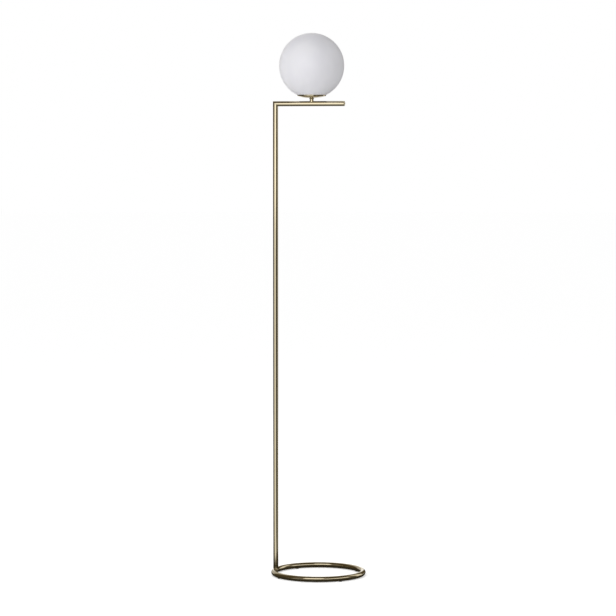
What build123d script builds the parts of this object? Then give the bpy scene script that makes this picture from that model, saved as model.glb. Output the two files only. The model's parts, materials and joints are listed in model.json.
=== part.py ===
"""A globe floor lamp: a brass ring on the floor, a round pole that rises from the ring's rim, a short
mitred arm, and an opal glass globe that stands on a shallow saucer above the arm.

Millimetres. The origin is the ring's centre on the floor, +Z is up, +X runs along the arm, from the
pole towards its free end, and +Y is the lamp's rear side, where the cord comes in.
"""

import os
from math import atan2, cos, pi, sin, sqrt

from build123d import *

# ---------------------------------------------------------------- driving dimensions
# ring on the floor
RING_RADIUS = 138.0  # centreline of the bar, and so the pole's distance from the origin
RING_BAR_DIAMETER = 17.0
PAD_COUNT = 4
PAD_DIAMETER = 10.0
PAD_PROUD = 1.0
PAD_RECESS = 1.2
PAD_EDGE_ROUND = 0.4

# screw that holds the pole on the ring
FOOT_SCREW_DIAMETER = 8.0
FOOT_SCREW_HEAD_DIAMETER = 13.0
FOOT_SCREW_HEAD_HEIGHT = 5.0
FOOT_SCREW_HEAD_RECESS = 3.2
FOOT_SCREW_REACH = 15.0  # above the top of the ring
FOOT_SCREW_SOCKET_FLATS = 5.0
FOOT_SCREW_SOCKET_DEPTH = 3.0
FOOT_PLUG_HEIGHT = 20.0  # above the top of the ring

# pole and arm, one tube size
TUBE_DIAMETER = 16.0
TUBE_WALL = 1.5
ARM_HEIGHT = 1460.0  # the arm's centreline above the floor
ARM_LENGTH = 220.0  # pole's centreline to the end of the arm tube
POLE_SECTION_COUNT = 3
COUPLER_LENGTH = 50.0
COUPLER_BORE = 9.0
END_CAP_DOME = 2.5
END_CAP_SPIGOT = 12.0

# cable bush in the rear of the pole's foot
INLET_HEIGHT = 50.0
BUSH_FLANGE_DIAMETER = 10.0
BUSH_FLANGE_PROUD = 2.2
BUSH_SHANK_DIAMETER = 7.2
BUSH_EDGE_ROUND = 0.6

# internal flex
CABLE_DIAMETER = 4.4
CABLE_BEND_AT_STEM = 6.5
CABLE_INTO_HOLDER = 2.4  # sheath end above the top of the nipple
CORE_DIAMETER = 1.8
CORE_SPACING = 2.2

# stem that carries the saucer
STEM_DISTANCE = 116.0  # pole's centreline to the stem's centreline
STEM_DIAMETER = 12.0
STEM_HEIGHT = 4.6  # above the top of the arm
NIPPLE_DIAMETER = 10.0
NIPPLE_BORE = 8.0
NIPPLE_INTO_HOLDER = 6.5
SOCKET_LENGTH = 26.0

# saucer
SAUCER_FLARE_RADIUS = 4.4
SAUCER_DISH_RADIUS = 90.0
SAUCER_HEIGHT = 13.8
SAUCER_WALL = 1.0
SAUCER_RIM_ROUND = 2.2
SAUCER_RIM_SETBACK = 0.7  # of the rim inside the glass's outer edge
SAUCER_LIP_MARGIN = 2.4  # of the lip outside the glass's inner edge
GASKET_THICKNESS = 0.6

# what is stacked on the nipple inside the saucer
WASHER_DIAMETER = 17.0
WASHER_THICKNESS = 0.8
NUT_FLATS = 14.0
NUT_THICKNESS = 4.0

# three-armed spring clip that grips the glass's mouth
CLIP_THICKNESS = 0.8
CLIP_WIDTH = 9.0
CLIP_ARMS = 3
CLIP_HUB_DIAMETER = 20.0
CLIP_BEND_RISE = 3.0
CLIP_BEND_RUN = 2.6
CLIP_GRIP_HEIGHT = 5.0
CLIP_LEAD_RISE = 7.0
CLIP_LEAD_RUN = 3.3

# glass globe
GLOBE_DIAMETER = 200.0
GLOBE_WALL = 3.0
GLOBE_MOUTH_DIAMETER = 76.2

# lampholder
HOLDER_DIAMETER = 38.0
HOLDER_WALL = 2.2
HOLDER_BASE_FOOT_DIAMETER = 24.0
HOLDER_BASE_FLOOR = 3.0
HOLDER_BASE_SLOPE = 8.0
HOLDER_BASE_HEIGHT = 17.0
HOLDER_BASE_LEDGE = 1.6
HOLDER_BODY_HEIGHT = 32.0
HOLDER_MOUTH_DIAMETER = 29.0
CONTACT_BLOCK_HEIGHT = 8.0
CONTACT_BLOCK_WELL_DIAMETER = 12.0
CONTACT_BLOCK_WELL_DEPTH = 2.0
SCREW_SHELL_BORE = 26.7
SCREW_SHELL_WALL = 0.4
SCREW_SHELL_HEIGHT = 20.0
SCREW_SHELL_FLANGE = 3.5
TONGUE_WIDTH = 6.0
TONGUE_LENGTH = 10.0
TONGUE_THICKNESS = 0.5
TONGUE_RISE = 3.4
TERMINAL_SPACING = 18.0
TERMINAL_HEAD_DIAMETER = 5.0
TERMINAL_HEAD_HEIGHT = 2.0
TERMINAL_SHANK_DIAMETER = 3.0
TERMINAL_SHANK_LENGTH = 5.0

# bulb
BULB_DIAMETER = 60.0
BULB_LENGTH = 108.0
BULB_WALL = 1.2
BULB_CAP_DIAMETER = 26.2
BULB_CAP_WALL = 0.4
BULB_CAP_HEIGHT = 22.0
BULB_CONTACT_DIAMETER = 9.6
BULB_CONTACT_THICKNESS = 1.2
BULB_INSULATOR_HEIGHT = 4.0
BULB_JOINT_DROP = 12.0  # from the dome's centre down to the housing
BULB_HOUSING_WALL = 1.6
BULB_HOUSING_NECK = 27.6
BULB_SPIGOT_HEIGHT = 8.0
BULB_HOUSING_WAIST = 1.5  # how far the housing's side curves inside a straight cone
LED_BOARD_THICKNESS = 1.6
LED_COUNT = 12
LED_CIRCLE_DIAMETER = 34.0
LED_SIZE = 3.0
LED_HEIGHT = 0.8
DRIVER_WIDTH = 20.0
DRIVER_HEIGHT = 24.0
DRIVER_THICKNESS = 1.6

# clearances
THREAD_CLEARANCE = 0.05  # radial, smooth stand-in for a thread
PASS_CLEARANCE = 0.25  # radial, a screw or stud through a plain hole
PAD_CLEARANCE = 0.1
CORD_CLEARANCE = 0.15
CABLE_END_GAP = 0.3  # between the bush and the end of the internal flex
CABLE_CORNER_CLEARANCE = 0.8  # between the flex and the inside of the arm's mitre
CABLE_NIPPLE_CLEARANCE = 0.3  # between the flex and the lower end of the nipple
CABLE_SOCKET_CLEARANCE = 0.5
SEAT_GAP = 0.05  # between the glass and its gasket
CLIP_GAP = 0.3  # between the spring clip and the glass
CONTACT_GAP = 0.3  # between the bulb's contact and the tongue below it

# ---------------------------------------------------------------- derived places
BAR_RADIUS = RING_BAR_DIAMETER / 2
RING_Z = PAD_PROUD + BAR_RADIUS
RING_TOP = RING_Z + BAR_RADIUS
POLE_X = -RING_RADIUS
TUBE_RADIUS = TUBE_DIAMETER / 2
TUBE_BORE_RADIUS = TUBE_RADIUS - TUBE_WALL
SECTION_LENGTH = (ARM_HEIGHT - RING_TOP) / POLE_SECTION_COUNT
ARM_TOP = ARM_HEIGHT + TUBE_RADIUS
ARM_END_X = POLE_X + ARM_LENGTH
STEM_X = POLE_X + STEM_DISTANCE

CABLE_RADIUS = CABLE_DIAMETER / 2
CABLE_START_Y = TUBE_BORE_RADIUS - BUSH_EDGE_ROUND - CABLE_END_GAP
CABLE_CORNER_ROOM = sqrt(2) * TUBE_BORE_RADIUS - CABLE_RADIUS - CABLE_CORNER_CLEARANCE
CABLE_BEND_AT_CORNER = CABLE_CORNER_ROOM / (sqrt(2) - 1)

NIPPLE_RADIUS = NIPPLE_DIAMETER / 2
SAUCER_Z = ARM_TOP + STEM_HEIGHT
SAUCER_FLOOR_Z = SAUCER_Z + SAUCER_FLARE_RADIUS + SAUCER_WALL
SAUCER_TOP_Z = SAUCER_Z + SAUCER_HEIGHT
GASKET_TOP_Z = SAUCER_TOP_Z + GASKET_THICKNESS
WASHER_TOP_Z = SAUCER_FLOOR_Z + WASHER_THICKNESS
NUT_TOP_Z = WASHER_TOP_Z + NUT_THICKNESS
CLIP_TOP_Z = NUT_TOP_Z + CLIP_THICKNESS
NIPPLE_TOP_Z = CLIP_TOP_Z + NIPPLE_INTO_HOLDER


def bend_inner_height(distance, clearance):
    """Height of the stem bend's inner side above the arm's centreline, at a distance before the stem."""
    inner_radius = CABLE_BEND_AT_STEM - CABLE_RADIUS - clearance
    return CABLE_BEND_AT_STEM - sqrt(inner_radius**2 - (CABLE_BEND_AT_STEM - distance) ** 2)


NIPPLE_LOW_Z = ARM_HEIGHT + bend_inner_height(NIPPLE_BORE / 2, CABLE_NIPPLE_CLEARANCE)
SOCKET_THREAD_RADIUS = NIPPLE_RADIUS + THREAD_CLEARANCE
SOCKET_CABLE_RADIUS = bend_inner_height(SOCKET_THREAD_RADIUS, 0) + CABLE_SOCKET_CLEARANCE

GLOBE_RADIUS = GLOBE_DIAMETER / 2
GLOBE_BORE_RADIUS = GLOBE_RADIUS - GLOBE_WALL
MOUTH_RADIUS = GLOBE_MOUTH_DIAMETER / 2
MOUTH_Z = GASKET_TOP_Z + SEAT_GAP
MOUTH_DROP = sqrt(GLOBE_BORE_RADIUS**2 - MOUTH_RADIUS**2)
GLOBE_Z = MOUTH_Z + MOUTH_DROP
MOUTH_OUTER_RADIUS = sqrt(GLOBE_RADIUS**2 - MOUTH_DROP**2)
SAUCER_RIM_RADIUS = MOUTH_OUTER_RADIUS - SAUCER_RIM_SETBACK
SAUCER_LIP_RADIUS = MOUTH_RADIUS + SAUCER_LIP_MARGIN

HOLDER_RADIUS = HOLDER_DIAMETER / 2
HOLDER_Z = CLIP_TOP_Z
HOLDER_BODY_Z = HOLDER_Z + HOLDER_BASE_HEIGHT
HOLDER_TOP_Z = HOLDER_BODY_Z + HOLDER_BODY_HEIGHT
HOLDER_BORE_RADIUS = HOLDER_RADIUS - HOLDER_WALL
BLOCK_Z = HOLDER_BODY_Z
BLOCK_TOP_Z = BLOCK_Z + CONTACT_BLOCK_HEIGHT
TONGUE_Z = BLOCK_TOP_Z - CONTACT_BLOCK_WELL_DEPTH

BULB_RADIUS = BULB_DIAMETER / 2
BULB_Z = TONGUE_Z + TONGUE_RISE + CONTACT_GAP
BULB_CAP_Z = BULB_Z + BULB_CONTACT_THICKNESS + BULB_INSULATOR_HEIGHT
BULB_CAP_TOP_Z = BULB_CAP_Z + BULB_CAP_HEIGHT
BULB_CENTRE_Z = BULB_Z + BULB_LENGTH - BULB_RADIUS
BULB_JOINT_Z = BULB_CENTRE_Z - BULB_JOINT_DROP
BULB_JOINT_RADIUS = sqrt(BULB_RADIUS**2 - BULB_JOINT_DROP**2)
BULB_BORE_RADIUS = BULB_CAP_DIAMETER / 2 - BULB_CAP_WALL

OVERCUT = 5.0  # how far a cutting tool runs past what it cuts


# ---------------------------------------------------------------- helpers
def rod(radius, z_low, z_high, x=0.0, y=0.0):
    """An upright cylinder between two heights."""
    base = (Align.CENTER, Align.CENTER, Align.MIN)
    return Pos(x, y, z_low) * Cylinder(radius, z_high - z_low, align=base)


def bar_along_x(radius, x_low, x_high, z):
    """A cylinder along X between two places."""
    base = (Align.CENTER, Align.CENTER, Align.MIN)
    return Pos(x_low, 0, z) * Rot(0, 90, 0) * Cylinder(radius, x_high - x_low, align=base)


def bar_along_y(radius, y_low, y_high, x, z):
    """A cylinder along Y between two places."""
    base = (Align.CENTER, Align.CENTER, Align.MIN)
    return Pos(x, y_low, z) * Rot(-90, 0, 0) * Cylinder(radius, y_high - y_low, align=base)


def tube(outer, inner, z_low, z_high, x=0.0):
    """An upright tube between two heights."""
    return rod(outer, z_low, z_high, x) - rod(inner, z_low, z_high, x)


def lathe(edges):
    """Turns a closed outline of (radius, height) edges about the stem's axis."""
    outline = Plane.XZ * make_face(edges)
    return Pos(STEM_X, 0, 0) * revolve(outline, Axis.Z)


def lathe_points(points):
    """Turns a closed outline of straight edges about the stem's axis."""
    return lathe(Polyline(*points, close=True))


def hexagon(flats, z_low, z_high, x):
    """An upright hexagonal prism, measured across its flats."""
    outline = RegularPolygon(flats / 2, 6, major_radius=False)
    return Pos(x, 0, z_low) * extrude(outline, z_high - z_low)


def on_circle(piece, count, turn=0.0):
    """Copies of a piece, evenly spaced about Z."""
    return [Rot(0, 0, turn + 360.0 * i / count) * piece for i in range(count)]


# ---------------------------------------------------------------- ring and foot
def ring_solid():
    return Pos(0, 0, RING_Z) * Torus(RING_RADIUS, BAR_RADIUS)


def base_ring():
    pad_hole = rod(PAD_DIAMETER / 2 + PAD_CLEARANCE, -OVERCUT, PAD_PROUD + PAD_RECESS, RING_RADIUS)
    head_top = PAD_PROUD + FOOT_SCREW_HEAD_RECESS + FOOT_SCREW_HEAD_HEIGHT
    head_hole = rod(FOOT_SCREW_HEAD_DIAMETER / 2 + PASS_CLEARANCE, -OVERCUT, head_top, POLE_X)
    shank_hole = rod(FOOT_SCREW_DIAMETER / 2 + PASS_CLEARANCE, -OVERCUT, RING_TOP + OVERCUT, POLE_X)
    pad_holes = on_circle(pad_hole, PAD_COUNT, 180.0 / PAD_COUNT)
    return ring_solid() - [head_hole, shank_hole, *pad_holes]


def floor_pads():
    pad = rod(PAD_DIAMETER / 2, 0, PAD_PROUD + PAD_RECESS, RING_RADIUS)
    pad = fillet(pad.edges().group_by(Axis.Z)[0], PAD_EDGE_ROUND)
    return Compound(on_circle(pad, PAD_COUNT, 180.0 / PAD_COUNT))


def foot_screw():
    head_z = PAD_PROUD + FOOT_SCREW_HEAD_RECESS
    head_top = head_z + FOOT_SCREW_HEAD_HEIGHT
    head = rod(FOOT_SCREW_HEAD_DIAMETER / 2, head_z, head_top, POLE_X)
    shank = rod(FOOT_SCREW_DIAMETER / 2, head_top, RING_TOP + FOOT_SCREW_REACH, POLE_X)
    key = hexagon(FOOT_SCREW_SOCKET_FLATS, head_z - OVERCUT, head_z + FOOT_SCREW_SOCKET_DEPTH, POLE_X)
    return head + shank - key


def foot_plug():
    plug = rod(TUBE_BORE_RADIUS - THREAD_CLEARANCE, RING_Z, RING_TOP + FOOT_PLUG_HEIGHT, POLE_X)
    thread_radius = FOOT_SCREW_DIAMETER / 2 + THREAD_CLEARANCE
    thread = rod(thread_radius, RING_Z - OVERCUT, RING_TOP + FOOT_PLUG_HEIGHT + OVERCUT, POLE_X)
    return plug - ring_solid() - thread


# ---------------------------------------------------------------- pole and arm
def mitre_plane():
    return Plane(origin=(POLE_X, 0, ARM_HEIGHT), z_dir=(1, 0, 1))


def seam_height(number):
    """Height of the seam above the given section, counted from 1 at the floor."""
    return RING_TOP + SECTION_LENGTH * number


def pole_lower():
    pipe = tube(TUBE_RADIUS, TUBE_BORE_RADIUS, RING_Z, seam_height(1), POLE_X)
    inlet = bar_along_y(BUSH_SHANK_DIAMETER / 2, 0, TUBE_RADIUS + OVERCUT, POLE_X, INLET_HEIGHT)
    return pipe - ring_solid() - inlet


def pole_middle():
    return tube(TUBE_RADIUS, TUBE_BORE_RADIUS, seam_height(1), seam_height(2), POLE_X)


def pole_upper():
    pipe = tube(TUBE_RADIUS, TUBE_BORE_RADIUS, seam_height(2), ARM_TOP + OVERCUT, POLE_X)
    return split(pipe, bisect_by=mitre_plane(), keep=Keep.BOTTOM)


def pole_coupler(number):
    seam = seam_height(number)
    outer = TUBE_BORE_RADIUS - THREAD_CLEARANCE
    return tube(outer, COUPLER_BORE / 2, seam - COUPLER_LENGTH / 2, seam + COUPLER_LENGTH / 2, POLE_X)


def arm_tube():
    start = POLE_X - TUBE_RADIUS - OVERCUT
    pipe = bar_along_x(TUBE_RADIUS, start, ARM_END_X, ARM_HEIGHT)
    pipe -= bar_along_x(TUBE_BORE_RADIUS, start, ARM_END_X, ARM_HEIGHT)
    pipe -= rod(SOCKET_THREAD_RADIUS, ARM_HEIGHT, ARM_TOP + OVERCUT, STEM_X)
    return split(pipe, bisect_by=mitre_plane(), keep=Keep.TOP)


def arm_end_cap():
    """A plug with a shallow dome, turned about the arm's axis."""
    dome_radius = (TUBE_RADIUS**2 + END_CAP_DOME**2) / (2 * END_CAP_DOME)
    half_angle = atan2(TUBE_RADIUS, dome_radius - END_CAP_DOME) / 2
    tip = ARM_END_X + END_CAP_DOME
    middle = (tip - dome_radius * (1 - cos(half_angle)), dome_radius * sin(half_angle))
    dome = ThreePointArc((tip, 0), middle, (ARM_END_X, TUBE_RADIUS))
    spigot_radius = TUBE_BORE_RADIUS - THREAD_CLEARANCE
    plug = Polyline(
        (ARM_END_X, TUBE_RADIUS),
        (ARM_END_X, spigot_radius),
        (ARM_END_X - END_CAP_SPIGOT, spigot_radius),
        (ARM_END_X - END_CAP_SPIGOT, 0),
        (tip, 0),
    )
    outline = Plane.XZ * make_face([dome, plug])
    return Pos(0, 0, ARM_HEIGHT) * revolve(outline, Axis.X)


def cable_bush():
    face_y = TUBE_RADIUS + BUSH_FLANGE_PROUD
    inner_y = TUBE_BORE_RADIUS - BUSH_EDGE_ROUND
    flange = bar_along_y(BUSH_FLANGE_DIAMETER / 2, 0, face_y, POLE_X, INLET_HEIGHT)
    flange = fillet(flange.edges().group_by(Axis.Y)[-1], BUSH_EDGE_ROUND)
    flange -= rod(TUBE_RADIUS, INLET_HEIGHT - TUBE_DIAMETER, INLET_HEIGHT + TUBE_DIAMETER, POLE_X)
    shank = bar_along_y(BUSH_SHANK_DIAMETER / 2, inner_y, face_y - BUSH_EDGE_ROUND, POLE_X, INLET_HEIGHT)
    bore_radius = CABLE_RADIUS + CORD_CLEARANCE
    return flange + shank - bar_along_y(bore_radius, 0, face_y + OVERCUT, POLE_X, INLET_HEIGHT)


# ---------------------------------------------------------------- wiring
def swept(path, diameter):
    """A round wire along a path that starts at the path's first point."""
    start = Plane(origin=path @ 0, z_dir=path % 0)
    return sweep(start * Circle(diameter / 2), path=path)


def supply_cable():
    """The flex's own part inside the lamp: from the bush up the pole, along the arm and up the nipple."""
    points = [
        (POLE_X, CABLE_START_Y, INLET_HEIGHT),
        (POLE_X, 0, INLET_HEIGHT),
        (POLE_X, 0, ARM_HEIGHT),
        (STEM_X, 0, ARM_HEIGHT),
        (STEM_X, 0, NIPPLE_TOP_Z + CABLE_INTO_HOLDER),
    ]
    bends = [CABLE_START_Y, CABLE_BEND_AT_CORNER, CABLE_BEND_AT_STEM]
    return swept(rounded_path(points, bends), CABLE_DIAMETER)


def rounded_path(points, bends):
    """Straight runs between right-angled bends at the inner points. The first bend starts at once."""
    corners = [Vector(*p) for p in points]
    edges = []
    start = corners[0]
    for before, corner, after, bend in zip(corners, corners[1:], corners[2:], bends):
        arriving = (corner - before).normalized()
        leaving = (after - corner).normalized()
        if edges:
            bend_start = corner - arriving * bend
            edges.append(Line(start, bend_start))
            start = bend_start
        bend_middle = corner + (leaving - arriving) * (bend * (1 - sqrt(0.5)))
        bend_end = corner + leaving * bend
        edges.append(ThreePointArc(start, bend_middle, bend_end))
        start = bend_end
    edges.append(Line(start, corners[-1]))
    return Wire(edges)


def core_wires():
    """The two cores from the sheath's end to the two terminals under the contact block."""
    start_z = NIPPLE_TOP_Z + CABLE_INTO_HOLDER
    end_z = BLOCK_Z - TERMINAL_HEAD_HEIGHT
    cores = []
    for side in (-1, 1):
        path = Spline(
            (STEM_X, side * CORE_SPACING / 2, start_z),
            (STEM_X, side * TERMINAL_SPACING / 2, end_z),
            tangents=[(0, 0, 1), (0, 0, 1)],
        )
        cores.append(swept(path, CORE_DIAMETER))
    return Compound(cores)


# ---------------------------------------------------------------- stem and saucer
def stem_socket():
    """The block inside the arm that the nipple screws into, bored from the left for the cable."""
    block_start = STEM_X - SOCKET_LENGTH / 2
    block_end = block_start + SOCKET_LENGTH
    block = bar_along_x(TUBE_BORE_RADIUS - THREAD_CLEARANCE, block_start, block_end, ARM_HEIGHT)
    block -= bar_along_x(SOCKET_CABLE_RADIUS, block_start - OVERCUT, STEM_X, ARM_HEIGHT)
    well_z = ARM_HEIGHT - SOCKET_CABLE_RADIUS - CABLE_SOCKET_CLEARANCE
    return block - rod(SOCKET_THREAD_RADIUS, well_z, ARM_TOP + OVERCUT, STEM_X)


def threaded_nipple():
    return tube(NIPPLE_RADIUS, NIPPLE_BORE / 2, NIPPLE_LOW_Z, NIPPLE_TOP_Z, STEM_X)


def stem_sleeve():
    sleeve = tube(STEM_DIAMETER / 2, NIPPLE_RADIUS + PASS_CLEARANCE, ARM_HEIGHT, SAUCER_Z, STEM_X)
    return sleeve - bar_along_x(TUBE_RADIUS, POLE_X, ARM_END_X, ARM_HEIGHT)


def saucer():
    """A spun dish on a trumpet foot, with its rim turned in to a flat lip under the glass."""
    foot_radius = STEM_DIAMETER / 2
    dish_start = foot_radius + SAUCER_FLARE_RADIUS
    dish_centre_z = SAUCER_Z + SAUCER_FLARE_RADIUS + SAUCER_DISH_RADIUS
    rim_centre = SAUCER_RIM_RADIUS - SAUCER_RIM_ROUND
    across = rim_centre - dish_start
    rim_drop = sqrt((SAUCER_DISH_RADIUS - SAUCER_RIM_ROUND) ** 2 - across**2)
    rim_angle = atan2(across, rim_drop)

    def dish_and_rim(thickness):
        """The dish's arc and the rim's arc, both raised by a thickness square to their faces."""
        dish_radius = SAUCER_DISH_RADIUS - thickness
        rim_radius = SAUCER_RIM_ROUND - thickness

        def on_dish(angle):
            return (dish_start + dish_radius * sin(angle), dish_centre_z - dish_radius * cos(angle))

        def on_rim(angle):
            return (rim_centre + rim_radius * sin(angle), dish_centre_z - rim_drop - rim_radius * cos(angle))

        dish = ThreePointArc(on_dish(0), on_dish(rim_angle / 2), on_dish(rim_angle))
        rim = ThreePointArc(on_rim(rim_angle), on_rim((rim_angle + pi / 2) / 2), on_rim(pi / 2))
        return [dish, rim], on_rim(pi / 2)

    outer, outer_end = dish_and_rim(0)
    flare_end = (dish_start, SAUCER_Z + SAUCER_FLARE_RADIUS)
    flare_turn = SAUCER_FLARE_RADIUS * (1 - sqrt(0.5))
    flare_middle = (foot_radius + flare_turn, flare_end[1] - flare_turn)
    flare = ThreePointArc((foot_radius, SAUCER_Z), flare_middle, flare_end)
    upper = Polyline(
        outer_end,
        (SAUCER_RIM_RADIUS, SAUCER_TOP_Z),
        (0, SAUCER_TOP_Z),
        (0, SAUCER_Z),
        (foot_radius, SAUCER_Z),
    )
    body = lathe([flare, *outer, upper])

    inner, inner_end = dish_and_rim(SAUCER_WALL)
    roof_z = SAUCER_TOP_Z - SAUCER_WALL
    roof = Polyline(
        inner_end,
        (inner_end[0], roof_z),
        (0, roof_z),
        (0, SAUCER_FLOOR_Z),
        (dish_start, SAUCER_FLOOR_Z),
    )
    body -= lathe([*inner, roof])
    body -= rod(SAUCER_LIP_RADIUS, roof_z - SAUCER_WALL, SAUCER_TOP_Z + OVERCUT, STEM_X)
    return body - rod(NIPPLE_RADIUS + PASS_CLEARANCE, SAUCER_Z - OVERCUT, SAUCER_TOP_Z, STEM_X)


def rim_gasket():
    inner = SAUCER_LIP_RADIUS + PAD_CLEARANCE
    outer = SAUCER_RIM_RADIUS - SAUCER_RIM_SETBACK
    return tube(outer, inner, SAUCER_TOP_Z, GASKET_TOP_Z, STEM_X)


def lock_washer():
    return tube(WASHER_DIAMETER / 2, NIPPLE_RADIUS + PASS_CLEARANCE, SAUCER_FLOOR_Z, WASHER_TOP_Z, STEM_X)


def nipple_nut():
    nut = hexagon(NUT_FLATS, WASHER_TOP_Z, NUT_TOP_Z, STEM_X)
    return nut - rod(NIPPLE_RADIUS + THREAD_CLEARANCE, WASHER_TOP_Z, NUT_TOP_Z, STEM_X)


def spring_clip():
    """A hub with three arms that turn up inside the glass's mouth and lean in at their tips."""
    grip = MOUTH_RADIUS - CLIP_GAP
    bend = grip - CLIP_BEND_RUN
    low = NUT_TOP_Z
    grip_low = low + CLIP_BEND_RISE
    grip_high = grip_low + CLIP_GRIP_HEIGHT
    tip_z = grip_high + CLIP_LEAD_RISE
    tip = grip - CLIP_LEAD_RUN
    outline = [
        (0, low),
        (bend, low),
        (grip, grip_low),
        (grip, grip_high),
        (tip, tip_z),
        (tip - CLIP_THICKNESS, tip_z),
        (grip - CLIP_THICKNESS, grip_high),
        (grip - CLIP_THICKNESS, grip_low + CLIP_THICKNESS / 2),
        (bend - CLIP_THICKNESS / 2, low + CLIP_THICKNESS),
        (0, low + CLIP_THICKNESS),
    ]
    whole = lathe_points(outline)
    reach = (Align.MIN, Align.CENTER, Align.MIN)
    strip = Box(GLOBE_RADIUS, CLIP_WIDTH, tip_z - low + OVERCUT, align=reach)
    keep = rod(CLIP_HUB_DIAMETER / 2, low - OVERCUT, low + OVERCUT)
    for arm in on_circle(Pos(0, 0, low - OVERCUT / 2) * strip, CLIP_ARMS, 180.0):
        keep += arm
    clip = whole & (Pos(STEM_X, 0, 0) * keep)
    return clip - rod(NIPPLE_RADIUS + PASS_CLEARANCE, low - OVERCUT, low + OVERCUT, STEM_X)


# ---------------------------------------------------------------- globe
def glass_globe():
    shell = Sphere(GLOBE_RADIUS) - Sphere(GLOBE_BORE_RADIUS)
    cut_top = (Align.CENTER, Align.CENTER, Align.MAX)
    below = Pos(0, 0, -MOUTH_DROP) * Box(GLOBE_DIAMETER, GLOBE_DIAMETER, GLOBE_RADIUS, align=cut_top)
    return Pos(STEM_X, 0, GLOBE_Z) * (shell - below)


# ---------------------------------------------------------------- lampholder
def holder_base():
    foot = HOLDER_BASE_FOOT_DIAMETER / 2
    slope_z = HOLDER_Z + HOLDER_BASE_SLOPE
    floor_z = HOLDER_Z + HOLDER_BASE_FLOOR
    bore = HOLDER_BORE_RADIUS - HOLDER_BASE_LEDGE
    outer = [
        (0, HOLDER_Z),
        (foot, HOLDER_Z),
        (HOLDER_RADIUS, slope_z),
        (HOLDER_RADIUS, HOLDER_BODY_Z),
        (0, HOLDER_BODY_Z),
    ]
    inner = [
        (0, floor_z),
        (foot - HOLDER_WALL, floor_z),
        (bore, slope_z),
        (bore, HOLDER_BODY_Z + OVERCUT),
        (0, HOLDER_BODY_Z + OVERCUT),
    ]
    base = lathe_points(outer) - lathe_points(inner)
    return base - rod(NIPPLE_RADIUS + THREAD_CLEARANCE, HOLDER_Z - OVERCUT, floor_z + OVERCUT, STEM_X)


def holder_body():
    body = rod(HOLDER_RADIUS, HOLDER_BODY_Z, HOLDER_TOP_Z, STEM_X)
    body = fillet(body.edges().group_by(Axis.Z)[-1], HOLDER_WALL / 2)
    body -= rod(HOLDER_BORE_RADIUS, HOLDER_BODY_Z - OVERCUT, HOLDER_TOP_Z - HOLDER_WALL, STEM_X)
    return body - rod(HOLDER_MOUTH_DIAMETER / 2, HOLDER_Z, HOLDER_TOP_Z + OVERCUT, STEM_X)


def contact_block():
    block = rod(HOLDER_BORE_RADIUS - PAD_CLEARANCE, BLOCK_Z, BLOCK_TOP_Z, STEM_X)
    block -= rod(CONTACT_BLOCK_WELL_DIAMETER / 2, TONGUE_Z, BLOCK_TOP_Z + OVERCUT, STEM_X)
    for side in (-1, 1):
        y = side * TERMINAL_SPACING / 2
        radius = TERMINAL_SHANK_DIAMETER / 2 + THREAD_CLEARANCE
        block -= rod(radius, BLOCK_Z - OVERCUT, BLOCK_Z + TERMINAL_SHANK_LENGTH, STEM_X, y)
    return block


def terminal_screws():
    screws = []
    for side in (-1, 1):
        y = side * TERMINAL_SPACING / 2
        head = rod(TERMINAL_HEAD_DIAMETER / 2, BLOCK_Z - TERMINAL_HEAD_HEIGHT, BLOCK_Z, STEM_X, y)
        shank = rod(TERMINAL_SHANK_DIAMETER / 2, BLOCK_Z, BLOCK_Z + TERMINAL_SHANK_LENGTH, STEM_X, y)
        screws.append(head + shank)
    return Compound(screws)


def screw_shell():
    bore = SCREW_SHELL_BORE / 2
    sleeve = tube(bore + SCREW_SHELL_WALL, bore, BLOCK_TOP_Z, BLOCK_TOP_Z + SCREW_SHELL_HEIGHT, STEM_X)
    return sleeve + tube(bore, bore - SCREW_SHELL_FLANGE, BLOCK_TOP_Z, BLOCK_TOP_Z + SCREW_SHELL_WALL, STEM_X)


def centre_contact():
    """A spring tongue: flat on the block, then bent up and back under the bulb's contact."""
    half = TONGUE_LENGTH / 2
    thick = TONGUE_THICKNESS
    top = TONGUE_Z + TONGUE_RISE
    outline = [
        (-half, TONGUE_Z),
        (half, TONGUE_Z),
        (0, top),
        (-half / 2, top),
        (-half / 2, top - thick),
        (-thick / 2, top - thick),
        (half - 3 * thick, TONGUE_Z + thick),
        (-half, TONGUE_Z + thick),
    ]
    face = Plane.XZ * make_face(Polyline(*outline, close=True))
    return Pos(STEM_X, 0, 0) * extrude(face, TONGUE_WIDTH / 2, both=True)


# ---------------------------------------------------------------- bulb
def bulb_contact():
    return rod(BULB_CONTACT_DIAMETER / 2, BULB_Z, BULB_Z + BULB_CONTACT_THICKNESS, STEM_X)


def bulb_insulator():
    low = BULB_Z + BULB_CONTACT_THICKNESS
    wide = BULB_BORE_RADIUS
    return lathe_points([(0, low), (BULB_CONTACT_DIAMETER / 2, low), (wide, BULB_CAP_Z), (0, BULB_CAP_Z)])


def bulb_cap():
    return tube(BULB_CAP_DIAMETER / 2, BULB_BORE_RADIUS, BULB_CAP_Z, BULB_CAP_TOP_Z, STEM_X)


def housing_side(inset, z_low, z_high):
    """The housing's curved side between two heights, moved inwards by an inset."""
    low = (BULB_HOUSING_NECK / 2 - inset, z_low)
    high = (BULB_JOINT_RADIUS - inset, z_high)
    middle = ((low[0] + high[0]) / 2 - BULB_HOUSING_WAIST, (low[1] + high[1]) / 2)
    return ThreePointArc(low, middle, high), low, high


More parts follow.
